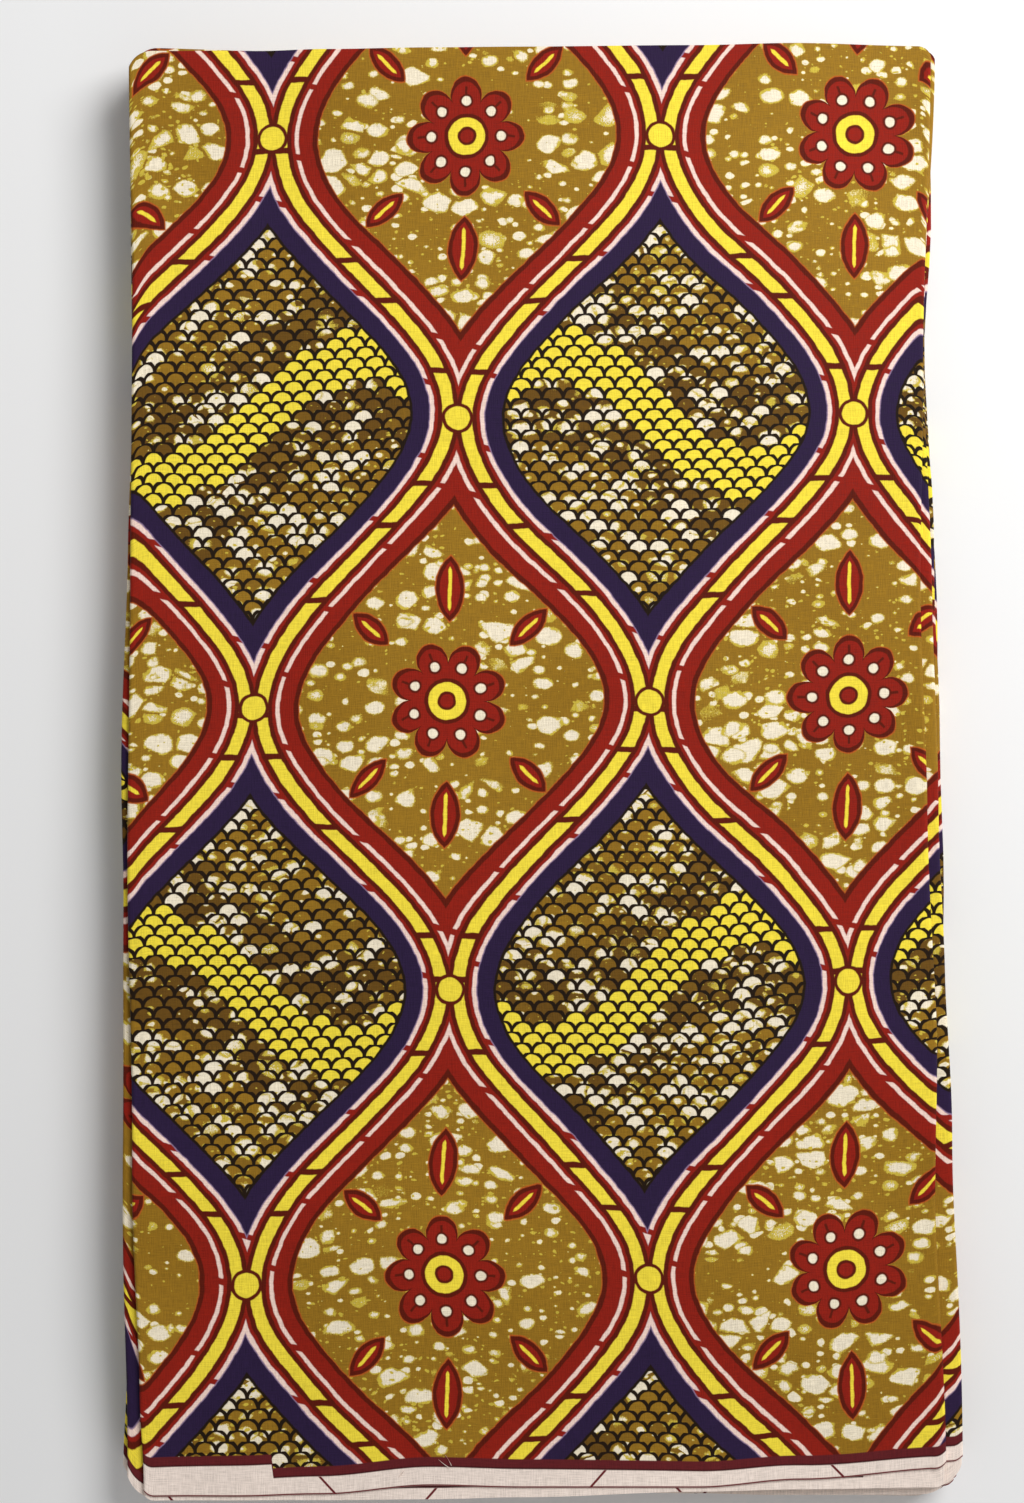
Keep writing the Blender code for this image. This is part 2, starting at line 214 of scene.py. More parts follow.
# Leaves round the flower: x, y, turn, length, width, then distance from their outline and colour
LEAVES = ((0.0, 46.0, 0.0, 27.0, 11.5), (32.0, 30.0, -0.80, 20.0, 9.0))
LEAF_EDGES = ((0.5, ORANGE), (0.0, MAROON), (-1.6, RED))
LEAF_VEIN, LEAF_VEIN_END = 0.7, -3.0

# The scales, and the bands that wind through them: half heights
SCALE_WIDTH = 8.4
SCALE_LINE, SCALE_LINE_SOFT = 0.74, 0.3  # half the width of the scales' outlines
WAVE_LENGTH, WAVE_HEIGHT = 158.0, 25.0
YELLOW_BAND, BROWN_BAND, BROWN_SOFT = 10.5, 36.0, 6.0
BROWN_SHADE, SCALE_SHADE = 1.2, 1.4  # how far the brown band darkens scales, and how far they differ
SCALE_DIM, OLIVE_GLOW = 0.94, 1.15  # shares of the scales' ochre, and of the other fields' olive
OCHRE_STEP = 0.3, 3.4  # where that turns ochre: the noise from which it does, and how steeply

# Bubbles: size of their cells, offset of the pattern, share of the cells that have one
BUBBLES = ((4.8, 7.3, 0.54), (8.8, 3.1, 0.82), (13.0, 5.7, 0.36))
BUBBLE_LONG, BUBBLE_HIGH = 0.78, 1.12  # cells to a size: bubbles are longer than high
BUBBLE_CRUMPLE = 0.18  # how far a crumple pushes a cell
BUBBLE_RADIUS = 0.85  # the largest, in cells
CROWD_AT, CROWD = 0.54, 0.5  # the slow noise at which they grow, and by how much
CRACK_SLOPE, CRACK, CRACK_MORE = 0.6, 0.04, 0.10  # between neighbours: the least crack, and more by lot
BUBBLE_ROUGH = 0.12  # how far the grain frays an outline
BUBBLE_STEEP, CREAM_STEEP = 20.0, 18.0  # how sharp the fringe's outline is, and the cream's
FRINGE_LEAST, FRINGE_MORE, FRINGE_STEP = 0.012, 0.10, (0.5, 5.0)

# Bubbles that took up dye, specks on the cream, and scales that are all bubble
DYED_STEP, DYED, DYED_LESS = (0.84, 6.0), 1.1, 0.36
SPECK_STEP, SPECKS = (0.63, 14.0), 0.5
WHITE_STEP, WHITE, WHITE_LESS = (0.8, 12.0), 0.5, 0.04

# Flecks of the fringe's colour between the bubbles
FLECK_SCALE, FLECK_CRUMPLE = (0.36, 0.5, 0.0), (1.2, 1.2, 0.0)
FLECK_FROM, FLECK, FLECK_PATCH, FLECK_STEEP = 0.76, 1.2, 0.9, 9.0

# The selvedges: how far inside the bare strip's edge, colour, share of its light
BARE_EDGES = ((4.0, BORDER_RED), (0.7, BORDER_RED, 0.5), (0.0, BARE_COTTON))
BARE_SELVEDGE = 4.4  # the long ply's, and how much wider the short ply's is, in a slow wave
BARE_WIDER, BARE_SWING, BARE_WAVE, BARE_WIDEST_AT = 1.6, 1.4, 480.0, 200.0
BARE_BLOCK, BARE_BLOCK_RISE, BARE_BLOCK_SOFT = 66.0, 5.4, 0.6
BARE_BLOCK_AT, BARE_BLOCK_EVERY, BARE_BLOCK_ASIDE = 94.0, 640.0, 301.0
MARK, MARK_LEAN = 0.6, 0.9  # half its width, and how far it leans
MARK_AT, MARK_EVERY, MARK_ASIDE = 51.0, 101.0, 65.0
EDGE_LINE, EDGE_LINE_SOFT = 0.6, 0.3

# The weave: noise along a thread and from each to the next, then how far each noise shades the dye
THREAD_NOISE = 0.2, 2.6
THREAD_SHADE, TONE_SHADE, GRAIN_SHADE = 0.28, 0.16, 0.16
CLOTH_ROUGHNESS, THREAD_ROUGHNESS = 0.66, 0.15

# Frayed ends: how many, then z of both plies that they leave, the least z, how far down they bend
FRAYS, FRAY_SEED, FRAY_MARGIN = 150, 11, 4.0
FRAY_Z, FRAY_FLOOR, FRAY_DROP = (0.86, 0.3), 0.16, 0.8
FRAY_REACH, FRAY_BEND = (0.8, 3.2), 1.2  # shortest and longest, and how far aside at most
FRAY_START, FRAY_STEPS = -0.25, 5  # they begin inside the edge, by a share of their reach
FRAY_RADIUS, FRAY_TAPER, FRAY_SIDES = 0.11, 0.4, 4

# Loose yarn on the top lap: x, y of its start, length, heading and turn in degrees
LOOSE_THREADS = (
    (-41.0, -276.6, 6.4, -44, 16), (-38.2, -275.0, 5.0, -50, -14), (-56.5, -284.0, 3.6, 38, 26),
)
YARN_RADIUS, YARN_SIDES, YARN_STEPS = 0.13, 6, 14
YARN_REST, YARN_LIFT = 0.12, 0.9  # height of its middle over the cloth, and the rise of its end

# The yarn's dye comes and goes along y, and its twist shades it
TINT_SCALE, TINT_NOISE, TINT_STEP = (0.0, 1000.0, 0.0), 0.07, (0.5, 6.0)
TWIST_SCALE = (900.0, 2600.0, 0.0)
TWIST_SHADE, TWIST_LEAST = 0.3, 0.82

FLOOR_REACH = 20.0  # in metres
FLOOR_COLOUR = (0.93, 0.93, 0.93, 1.0)

# The lights: name, place, aim, size, power, and then the strength of the room's own
LIGHTS = (
    ("key", (0.75, 0.75, 1.10), (0.10, 0.45, 0.0), 0.9, 20.2),
    ("fill", (0.7, -1.6, 0.55), (0.1, -0.2, 0.0), 1.4, 6.0),
)
ROOM = 0.30

# The cloth's middle on a grid of columns along it and rows across it. half is half a lap's thickness,
# crease, short and long are y of the crease and of both plies' edges, corner is their corners' radius,
# and from_side is the distance to the side fold's face
Strip = namedtuple("Strip", "x z normal_x normal_z half crease short long corner from_side")
ENDS = slice(5, 9)  # crease, short, long and corner


def ease(share):
    """Go from 0 to 1 along 3 s^2 - 2 s^3."""
    share = np.clip(share, 0.0, 1.0)
    return share * share * (3.0 - 2.0 * share)


def curve(table, at, column=1):
    """Read a table as a smooth curve: between two rows the value eases in and out."""
    rows = np.array(sorted(table), dtype=float)
    at = np.clip(at, rows[0, 0], rows[-1, 0])
    row = np.clip(np.searchsorted(rows[:, 0], at, side="right") - 1, 0, len(rows) - 2)
    share = ease((at - rows[row, 0]) / (rows[row + 1, 0] - rows[row, 0]))
    return rows[row, column] + share * (rows[row + 1, column] - rows[row, column])


def fade(distance, reach):
    """1 where a distance is 0, and less further off: exp(-(d / r)^2)."""
    return np.exp(-(distance / reach) ** 2)


def sines(table, at, number):
    """Sum of sines along a line: each is size * sin(at / length + phase * number)."""
    return sum(size * np.sin(at / length + phase * number) for size, length, phase in table)


def side_folds(lap):
    """The folds at a lap's left side, which have even numbers, and at its right, with odd ones."""
    return 2 * round((lap + 0.5) / 2.0), 2 * round((lap - 0.5) / 2.0) + 1


def fold_x(fold, y):
    """x of a fold's outer face at y."""
    if fold < len(TOP_FOLDS):
        inset = curve(TOP_FOLDS[fold], y)
    else:
        at_crease, at_selvedge = LOWER_FOLDS[fold - len(TOP_FOLDS)]
        inset = at_crease + (at_selvedge - at_crease) * (CREASE_Y - y) / (CREASE_Y - SELVEDGE_Y)
        inset = inset + sines(FOLD_WAVES, y, fold)
        if fold % 2 == 1:
            inset = inset + DRAWN_IN * fade(y - DRAWN_IN_Y, DRAWN_IN_REACH)
    return LEFT_X + inset if fold % 2 == 0 else RIGHT_X - inset


def corner_cut(from_side, radius):
    """How far a quarter circle cuts back a lap's end near its sides: r - sqrt(r^2 - (r - d)^2)."""
    inside = np.clip(radius - from_side, 0.0, radius)
    return radius - np.sqrt(radius ** 2 - inside ** 2)


def lap_ends(lap, x):
    """y of a lap's crease and of its plies' edges, carried in a straight line from fold to fold."""
    if lap == 0:
        return [curve(TOP_LAP, x, column) for column in (1, 2, 3)]
    share = (x - LEFT_X) / (RIGHT_X - LEFT_X)
    left, right = (FOLD_ENDS[fold - 1] for fold in side_folds(lap))
    return [a + (b - a) * share + sines(END_WAVES, x, lap) for a, b in zip(left, right)]


def mounds(table, x, y):
    """Sum of long soft mounds: each is rise * exp(-(2 along / length)^2 - (2 across / width)^2)."""
    total = 0.0
    for centre_x, centre_y, length, width, turn, rise in table:
        angle = math.radians(turn)
        along = (x - centre_x) * math.cos(angle) + (y - centre_y) * math.sin(angle)
        across = (y - centre_y) * math.cos(angle) - (x - centre_x) * math.sin(angle)
        total = total + rise * np.exp(-(2.0 * along / length) ** 2 - (2.0 * across / width) ** 2)
    return total


def ripples(level, x, y):
    """Small waves that the inner laps show at the pile's rim and that fade inwards.

    At the ends they are sines of x, and at the sides sines of y. Their phase goes on from lap to lap.
    """
    ends = fade(y - SELVEDGE_Y, RIPPLE_REACH) + CREASE_RIPPLE * fade(CREASE_Y - y, RIPPLE_REACH)
    sides = fade(x - LEFT_X, RIPPLE_REACH) + fade(RIGHT_X - x, RIPPLE_REACH)
    return RIPPLE * (ends * sines(END_RIPPLES, x, level) + sides * sines(SIDE_RIPPLES, y, level))


def height(level, x, y):
    """z of a level, counted in laps from the top: its share s of the pile, and waves.

    The top's waves fade downwards as s^2, and the rim's ripples go as 4 s (1 - s).
    """
    from_side = np.minimum(x - LEFT_X, RIGHT_X - x)
    full = LAPS * PITCH + SIDE_PUFF * fade(from_side, SIDE_PUFF_REACH)
    full = full + CREASE_PUFF * fade(CREASE_Y - y, CREASE_PUFF_REACH)
    full = full - OPEN_END_DROP * fade(y - SELVEDGE_Y, OPEN_END_REACH)
    share = 1.0 - level / LAPS
    inner = 4.0 * share * (1.0 - share)
    return share * full + share ** 2 * mounds(WAVES, x, y) + inner * ripples(level, x, y)


def lap_height(lap, x, y):
    """Height that a lap takes up."""
    return height(lap, x, y) - height(lap + 1.0, x, y)


def tuck_lift(x, y):
    """How far the top lap lies higher over the end that is turned under it."""
    tuck_end = fold_x(0, y) + TUCK_LENGTH
    return lap_height(0, x, y) * ease((tuck_end + TUCK_SLOPE - x) / TUCK_SLOPE)


def level_strip(lap, x, y, lift, up, from_side):
    """Part of a lap, with normals that point straight up or down."""
    z = height(lap + 0.5, x, y) + lift
    half = 0.5 * (lap_height(lap, x, y) - GAP)
    corner = np.full_like(x, SELVEDGE_CORNER if lap == 0 else LOWER_CORNER)
    return Strip(x, z, np.zeros_like(x), np.full_like(x, up), half, *lap_ends(lap, x), corner, from_side)


def run(lap, shares, y):
    """The middle of one lap on a grid of columns, from left to right, and rows.

    x goes in a straight line between the places where the side folds begin to turn.
    """
    left_x, right_x = (fold_x(fold, y) for fold in side_folds(lap))
    x = left_x + FOLD_REACH + (right_x - left_x - 2.0 * FOLD_REACH) * shares[:, None]
    lift = tuck_lift(x, y) if lap == 0 else 0.0
    up = 1.0 if lap % 2 == 0 else -1.0
    return level_strip(lap, x, y, lift, up, np.minimum(x - left_x, right_x - x))


def turned_end(top, y):
    """The end that is turned under the top lap, from its fold inwards."""
    x = top.x[0] + TUCK_LENGTH * np.linspace(0.0, 1.0, TUCK_COLUMNS)[:, None]
    return level_strip(0, x, y, 0.0, -1.0, top.from_side[0] + x - top.x[0])


def side_fold(above, below, fold, y):
    """A side fold: half a circle from one column of the lap above to one of the lap below.

    Its points are x + r sin a and z + r cos a for a from 0 to pi, and its normals point along them.
    """
    share = np.arange(1, FOLD_STEPS)[:, None] / FOLD_STEPS
    side = -1.0 if fold % 2 == 0 else 1.0
    radius = 0.5 * (above.z - below.z)
    out = side * np.sin(math.pi * share)
    up = np.cos(math.pi * share)
    x = above.x + out * radius
    z = below.z + radius * (1.0 + up)
    ends = [high + (low - high) * share for high, low in zip(above[ENDS], below[ENDS])]
    from_side = np.maximum(0.0, side * (fold_x(fold, y) - x))
    half = (radius - 0.5 * GAP) * np.ones_like(x)
    return Strip(x, z, above.normal_z * out, above.normal_z * up, half, *ends, from_side)


def columns(strip, which):
    """Some of a strip's columns: one by its number, or several by a slice."""
    return Strip(*[values[which] for values in strip])


def crowded(ends, count):
    """Shares from 0 to 1: the given ones at both ends, and evenly spaced ones between."""
    between = np.linspace(ends[-1], 1.0 - ends[-1], count + 2)[1:-1]
    return np.concatenate([ends, between, 1.0 - ends[::-1]])


def lap_shares(count):
    """Columns of a lap as shares of its length, closer through its corners."""
    return crowded(np.array(CORNER_SHARES) * (LOWER_CORNER / (RIGHT_X - LEFT_X)), count)


def stretch(first, counts, y):
    """The middle of the cloth from a lap on, with a side fold between each lap and the next."""
    strips, above = [], None
    for lap, count in enumerate(counts, first):
        strip = run(lap, lap_shares(count), y)
        to_right = lap % 2 == 0
        if above is not None:
            at = 0 if to_right else -1
            strips.append(side_fold(columns(above, at), columns(strip, at), lap, y))
        strips.append(strip if to_right else columns(strip, REVERSED))
        above = strip
    return strips


def joined(strips):
    """One strip from several, end to end."""
    return Strip(*[np.concatenate(values) for values in zip(*strips)])


def ply_rows(count):
    """Rows from the crease to the selvedge as shares, closer at both ends."""
    return crowded(np.array(NEAR_END) / (CREASE_Y - SELVEDGE_Y), count)


def ply_points(strip, shares, facing, rise=None):
    """Points of one ply: the middle moved by its share of the lap's thickness along the normal.

    Rows run from crease to edge. At the crease the offset follows a quarter circle,
    r sqrt(1 - (1 - d / r)^2) at a distance d from the crease, so that both plies meet there.
    """
    radius = strip.half - 0.5 * PLY
    crease = strip.crease - corner_cut(strip.from_side, np.where(strip.x < 0.0, *CREASE_CORNERS))
    edge, corner = strip.long, strip.corner
    if facing > 0.0:
        edge, corner = strip.short, np.where(strip.x > 0.0, SELVEDGE_CORNER, corner)
    edge = edge + corner_cut(strip.from_side, corner)
    y = crease + (edge - crease) * shares
    inside = np.clip(1.0 - (crease - y) / radius, 0.0, 1.0)
    offset = facing * radius * np.sqrt(1.0 - inside ** 2)
    if rise is not None:
        lift = curve(SELVEDGE_RISE, strip.x) * np.exp(-(y - edge) / SELVEDGE_RISE_REACH)
        offset = offset + rise * (lift + mounds(CREASES, strip.x, y))
    return np.stack([strip.x + strip.normal_x * offset, y, strip.z + strip.normal_z * offset], axis=2)


def add_object(name, data):
    """Put an object into the scene, at the origin."""
    made = bpy.data.objects.new(name, data)
    bpy.context.scene.collection.objects.link(made)
    return made


def sheet_object(name, points, along, across, material):
    """A sheet from a grid of points, with the cloth's own coordinates in metres as its UV map."""
    numbers = np.arange(points[..., 0].size).reshape(points.shape[:2])
    quads = np.stack([numbers[:-1, :-1], numbers[1:, :-1], numbers[1:, 1:], numbers[:-1, 1:]], axis=2)
    quads = quads.reshape(-1, 4)
    mesh = bpy.data.meshes.new(name)
    mesh.vertices.add(numbers.size)
    mesh.vertices.foreach_set("co", (points.reshape(-1) * METRE).astype(np.float32))
    mesh.loops.add(quads.size)
    mesh.loops.foreach_set("vertex_index", quads.reshape(-1).astype(np.int32))
    mesh.polygons.add(len(quads))
    mesh.polygons.foreach_set("loop_start", np.arange(0, quads.size, 4, dtype=np.int32))
    mesh.update(calc_edges=True)
    uv = np.stack([along, across], axis=2).reshape(-1, 2) * METRE
    layer = mesh.uv_layers.new(name="cloth")
    layer.data.foreach_set("uv", uv[quads.reshape(-1)].reshape(-1).astype(np.float32))
    mesh.shade_smooth()
    mesh.materials.append(material)
    piece = add_object(name, mesh)
    wall = piece.modifiers.new("ply", "SOLIDIFY")
    wall.thickness = PLY * METRE
    wall.offset = 0.0
    wall.use_even_offset = False
    return piece


def lengths_along(strip, reference, start):
    """Length along the cloth at every column and row, which is start at the reference column."""
    steps = np.hypot(np.diff(strip.x, axis=0), np.diff(strip.z, axis=0))
    along = np.concatenate([np.zeros((1, strip.x.shape[1])), np.cumsum(steps, axis=0)])
    return along - along[reference] + start


def doubled_cloth(name, make_strip, rows, reference, start, material, rise=None):
    """One stretch of the doubled cloth: short ply, crease and long ply as a single sheet.

    Returns the piece, and the lengths along the cloth at which it begins and ends.
    """
    plies = []
    for count, facing in zip(rows, (1.0, -1.0)):
        shares = ply_rows(count)
        strip = make_strip(CREASE_Y + (SELVEDGE_Y - CREASE_Y) * shares)
        points = ply_points(strip, shares, facing, rise(strip) if rise and facing > 0.0 else None)
        along = lengths_along(strip, reference, start)
        across = 0.5 * CLOTH_WIDTH * (1.0 - facing * shares) * np.ones_like(along)
        plies.append((points, along, across))
    parts = [np.concatenate([short[:, :0:-1], long], axis=1) for short, long in zip(*plies)]
    return sheet_object(name, *parts, material), parts[1][0].mean(), parts[1][-1].mean()


def front_strip(y):
    """The turned-under end, the top four laps and the start of the fifth."""
    strips = stretch(0, [TOP_COLUMNS] + [LAP_COLUMNS] * FRONT_LAPS, y)
    top = strips[0]
    tuck = turned_end(top, y)
    first = side_fold(columns(top, 0), columns(tuck, 0), 0, y)
    strips[-1] = columns(strips[-1], UP_TO_SPLIT)
    return joined([columns(tuck, REVERSED), columns(first, REVERSED)] + strips)


def inner_strip(y):
    """The hidden laps, from inside the fifth to inside the last."""
    strips = stretch(FRONT_LAPS, [LAP_COLUMNS] * (LAPS - FRONT_LAPS), y)
    strips[0] = columns(strips[0], FROM_SPLIT)
    strips[-1] = columns(strips[-1], UP_TO_SPLIT)
    return joined(strips)


def back_strip(y):
    """The rest of the last lap, up to the cut end."""
    return columns(run(LAPS - 1, lap_shares(LAP_COLUMNS), y), FROM_SPLIT)


def stands_off(strip):
    """1 where the upper ply is the pile's face, and so shows small creases and a loose edge."""
    return (strip.normal_z > LEVEL) & (strip.z > TOP_FACE)


def both_ways(operation):
    """An operator that adds a Math node, and its reflected form."""
    return (lambda own, other: own.shade.math(operation, own, other),
            lambda own, other: own.shade.math(operation, other, own))


class Number:
    """A number at every point of a surface. Arithmetic on it adds Math nodes."""

    def __init__(self, shade, socket):
        self.shade = shade
        self.socket = socket

    def __abs__(self):
        return self.shade.math("ABSOLUTE", self)

    __add__, __radd__ = both_ways("ADD")
    __sub__, __rsub__ = both_ways("SUBTRACT")
    __mul__, __rmul__ = both_ways("MULTIPLY")
    __truediv__, __rtruediv__ = both_ways("DIVIDE")
    __pow__, __rpow__ = both_ways("POWER")
    __mod__, __rmod__ = both_ways("FLOORED_MODULO")


class Shade:
    """A material's nodes, written as expressions."""

    def __init__(self, name):
        self.material = bpy.data.materials.new(name)
        self.material.use_nodes = True
        self.tree = self.material.node_tree
        self.shader = self.tree.nodes["Principled BSDF"]

    def node(self, kind, settings=None, values=None):
        """Add a node of a type, with its settings first and then its sockets' values or links."""
        made = self.tree.nodes.new(kind)
        for setting, value in (settings or {}).items():
            setattr(made, setting, value)
        for socket, value in (values or {}).items():
            self.feed(made.inputs[socket], value)
        return made

    def feed(self, socket, value):
        """Link a number, colour or vector into a socket, or set its value."""
        if isinstance(value, Number):
            self.tree.links.new(value.socket, socket)
        elif isinstance(value, bpy.types.NodeSocket):
            self.tree.links.new(value, socket)
        else:
            socket.default_value = value

    def math(self, operation, *values):
        """A Math node. Its result is a number."""
        made = self.node("ShaderNodeMath", {"operation": operation}, dict(enumerate(values)))
        return Number(self, made.outputs[0])

    def clamp(self, value):
        """Keep a number between 0 and 1."""
        made = self.node("ShaderNodeClamp", None, {"Value": value})
        return Number(self, made.outputs[0])

    def step(self, value, start, steepness):
        """0 up to a start, and then in a straight line up to 1."""
        return self.clamp((value - start) * steepness)

    def mix(self, share, below, above):
        """Lay a colour over another by a share."""
        made = self.node("ShaderNodeMix", {"data_type": "RGBA"}, {"Factor": share, 6: below, 7: above})
        return made.outputs[2]

    def dim(self, colour, share):
        """A colour times a number."""
        made = self.node("ShaderNodeVectorMath", {"operation": "SCALE"}, {0: colour, "Scale": share})
        return made.outputs[0]

    def move(self, vector, scale=(1.0, 1.0, 1.0), offset=(0.0, 0.0, 0.0)):
        """A vector times a scale plus an offset."""
        values = {0: vector, 1: scale, 2: offset}
        made = self.node("ShaderNodeVectorMath", {"operation": "MULTIPLY_ADD"}, values)
        return made.outputs[0]

    def split(self, vector):
        """A vector's or colour's three numbers."""
        made = self.node("ShaderNodeSeparateXYZ", None, {0: vector})
        return [Number(self, socket) for socket in made.outputs]

    def noise(self, vector, scale, detail=2.0, roughness=0.5):
        """Soft noise from 0 to 1, as a number and as a colour."""
        made = self.node("ShaderNodeTexNoise", {"noise_dimensions": "2D"},
                         {"Vector": vector, "Scale": scale, "Detail": detail, "Roughness": roughness})
        return Number(self, made.outputs[0]), made.outputs[1]

    def cells(self, vector, feature):
        """Cells about one unit across: a distance and each cell's random colour."""
        made = self.node("ShaderNodeTexVoronoi", {"voronoi_dimensions": "2D", "feature": feature},
                         {"Vector": vector, "Scale": 1.0, "Randomness": 1.0})
        return Number(self, made.outputs[0]), made.outputs[1]

    def below(self, value, limit, soft=SOFT):
        """1 where a number is under a limit and 0 over it, with a soft step between."""
        return self.clamp(self.math("MULTIPLY_ADD", value, -1.0 / soft, limit / soft + 0.5))

    def layers(self, colour, value, table):
        """Lay a table's colours over another, each where a value is under its limit."""
        for limit, *above in table:
            colour = self.mix(self.below(value, limit), colour, linear(*above))
        return colour

    def between(self, value, low, high, soft=SOFT):
        """1 where a number lies between two limits."""
        return self.below(value, high, soft) - self.below(value, low, soft)

    def wrap(self, value, half):
        """Bring a number into the range from -half to half, as a repeat does."""
        return self.math("WRAP", value, half, -half)

    def choose(self, chosen, value, other):
        """One number where chosen is 1, and another where it is 0."""
        made = self.node("ShaderNodeMix", {"data_type": "FLOAT"}, {"Factor": chosen, 2: other, 3: value})
        return Number(self, made.outputs[0])

    def length(self, x, y):
        """sqrt(x^2 + y^2)."""
        return self.math("SQRT", self.math("MULTIPLY_ADD", x, x, y * y))

    def finish(self, values):
        """Give the shader's sockets their values or links, and return the material."""
        for socket, value in values.items():
            self.feed(self.shader.inputs[socket], value)
        return self.material


def linear(colour, share=1.0):
    """A colour on a scale to 255, as the renderer's linear values by the sRGB curve, times a share."""
    scaled = np.array(colour) / 255.0
    values = np.where(scaled <= 0.04045, scaled / 12.92, ((scaled + 0.055) / 1.055) ** 2.4)
    return (*(share * values).tolist(), 1.0)


def layout(shade, u, v):
    """Where a point lies among the winding ribbons, in millimetres.

    Even ribbons wind along u = A cos(2 pi v / h) and odd ones the other way, one column aside. The
    fields between them take turns, plain and scaled. Returns the distance from the nearest ribbon's
    middle, 1 in scaled fields, the place from the field's own middle, 1 in every second field of a
    kind, and the distance from the nearest place where two ribbons meet.
    """
    phase = v * (math.tau / REPEAT)
    swing = shade.math("COSINE", phase) * SWING
    slope = shade.math("SINE", phase) * (SWING * math.tau / REPEAT)
    even, odd = u - swing, u + swing - COLUMN
    nearest = shade.math("MINIMUM", abs(shade.wrap(even, COLUMN)), abs(shade.wrap(odd, COLUMN)))
    inset = nearest / shade.math("SQRT", slope * slope + 1.0)
    half_turn = 0.5 * math.pi / COLUMN
    sides = shade.math("SINE", even * half_turn) * shade.math("SINE", odd * half_turn)
    scaled = shade.math("GREATER_THAN", sides, 0.0)
    x_plain = shade.wrap(u - 0.5 * COLUMN, COLUMN)
    y_plain = shade.wrap(v - 0.5 * REPEAT, 0.5 * REPEAT)
    x_scaled = shade.wrap(u - 1.5 * COLUMN, COLUMN)
    y_scaled = shade.wrap(v, 0.5 * REPEAT)
    x = shade.choose(scaled, x_scaled, x_plain)
    y = shade.choose(scaled, y_scaled, y_plain)
    knot = shade.math("MINIMUM", shade.length(x_plain, y_scaled), shade.length(x_scaled, y_plain))
    across = shade.math("ROUND", (u - x - 0.5 * COLUMN) * (0.5 / COLUMN) + STEADY)
    up = shade.math("ROUND", (v - y) * (1.0 / REPEAT) + STEADY)
    second = (across + up) % 2.0
    return inset, scaled, x, y, second, knot


def bubbles(shade, place, crumple, crowd, size, seed, amount):
    """Where the wax cracked off: a height that is over 0 inside bubbles, and each bubble's own lot.

    Each cell of a cell pattern holds one bubble or none. A bubble is round up to its own radius,
    and stops short of the line where the second nearest middle is as near as its own.
    """
    at = shade.move(place, (BUBBLE_LONG / size, BUBBLE_HIGH / size, 0.0), (seed, 2.0 * seed, 0.0))
    at = shade.move(crumple, (BUBBLE_CRUMPLE, BUBBLE_CRUMPLE, 0.0), at)
    middle, lots = shade.cells(at, "F1")
    other, _ = shade.cells(at, "F2")
    first, second, third = shade.split(lots)
    radius = (first - (1.0 - amount)) * BUBBLE_RADIUS + (crowd - CROWD_AT) * CROWD
    crack = (other - middle) * CRACK_SLOPE - CRACK - third * CRACK_MORE
    return shade.math("MINIMUM", radius - middle, crack), second


def bubbled(shade, ground, place, drift, crumple, grain, speckle, fill):
    """Cream bubbles with yellowish fringes on a ground, and flecks between them."""
    _, crowd, patch = shade.split(drift)
    _, sway, _ = shade.split(crumple)
    fringe = shade.step(sway, *FRINGE_STEP) * FRINGE_MORE + FRINGE_LEAST
    specks = shade.step(speckle, *SPECK_STEP) * SPECKS
    cream = shade.mix(specks, linear(CREAM), linear(SPECK))
    for size, seed, amount in BUBBLES:
        rise, own = bubbles(shade, place, crumple, crowd, size, seed, amount)
        rise = rise + fill + (grain - 0.5) * BUBBLE_ROUGH
        dyed = shade.step(own, *DYED_STEP) * (grain * DYED - DYED_LESS)
        ground = shade.mix(shade.clamp(rise * BUBBLE_STEEP + 0.5), ground, linear(FRINGE))
        ground = shade.mix(shade.step(rise - dyed, fringe, CREAM_STEEP), ground, cream)
    at = shade.move(crumple, FLECK_CRUMPLE, shade.move(place, FLECK_SCALE))
    middle, lots = shade.cells(at, "F1")
    lot, _, _ = shade.split(lots)
    radius = (lot - FLECK_FROM) * FLECK + (patch - 0.5) * FLECK_PATCH
    return shade.mix(shade.step(radius, middle, FLECK_STEEP), ground, linear(FRINGE))


def scales(shade, x, y, width):
    """Fish scales: circles in rows, each row half a scale aside of the next and over its lower halves.

    Returns the distance to the nearest outline, a number for each scale's own shade, and the
    scale's middle.
    """
    radius = 0.5 * width
    row = shade.math("FLOOR", y / radius)
    odd = row % 2.0
    across = x / width - odd * 0.5
    distance = shade.length(shade.wrap(across, 0.5) * width, y - row * radius)
    inside = shade.math("LESS_THAN", distance, radius)
    this_one = shade.math("ROUND", across)
    next_one = shade.math("ROUND", across + odd - 0.5)
    own_column = shade.choose(inside, this_one, next_one)
    own_row = row + 1.0 - inside
    own_x = (own_column + (own_row % 2.0) * 0.5) * width
    place = shade.node("ShaderNodeCombineXYZ", None, {0: own_column, 1: own_row})
    lot = shade.node("ShaderNodeTexWhiteNoise", {"noise_dimensions": "2D"}, {"Vector": place.outputs[0]})
    return abs(distance - radius), Number(shade, lot.outputs[0]), own_x, own_row * radius


def leaf(shade, across, along, length, width):
    """Signed distance to a leaf: the overlap of two circles of radius (a^2 + b^2) / 2b."""
    half_length, half_width = 0.5 * length, 0.5 * width
    radius = (half_length ** 2 + half_width ** 2) / (2.0 * half_width)
    return shade.length(abs(across) + (radius - half_width), along) - radius


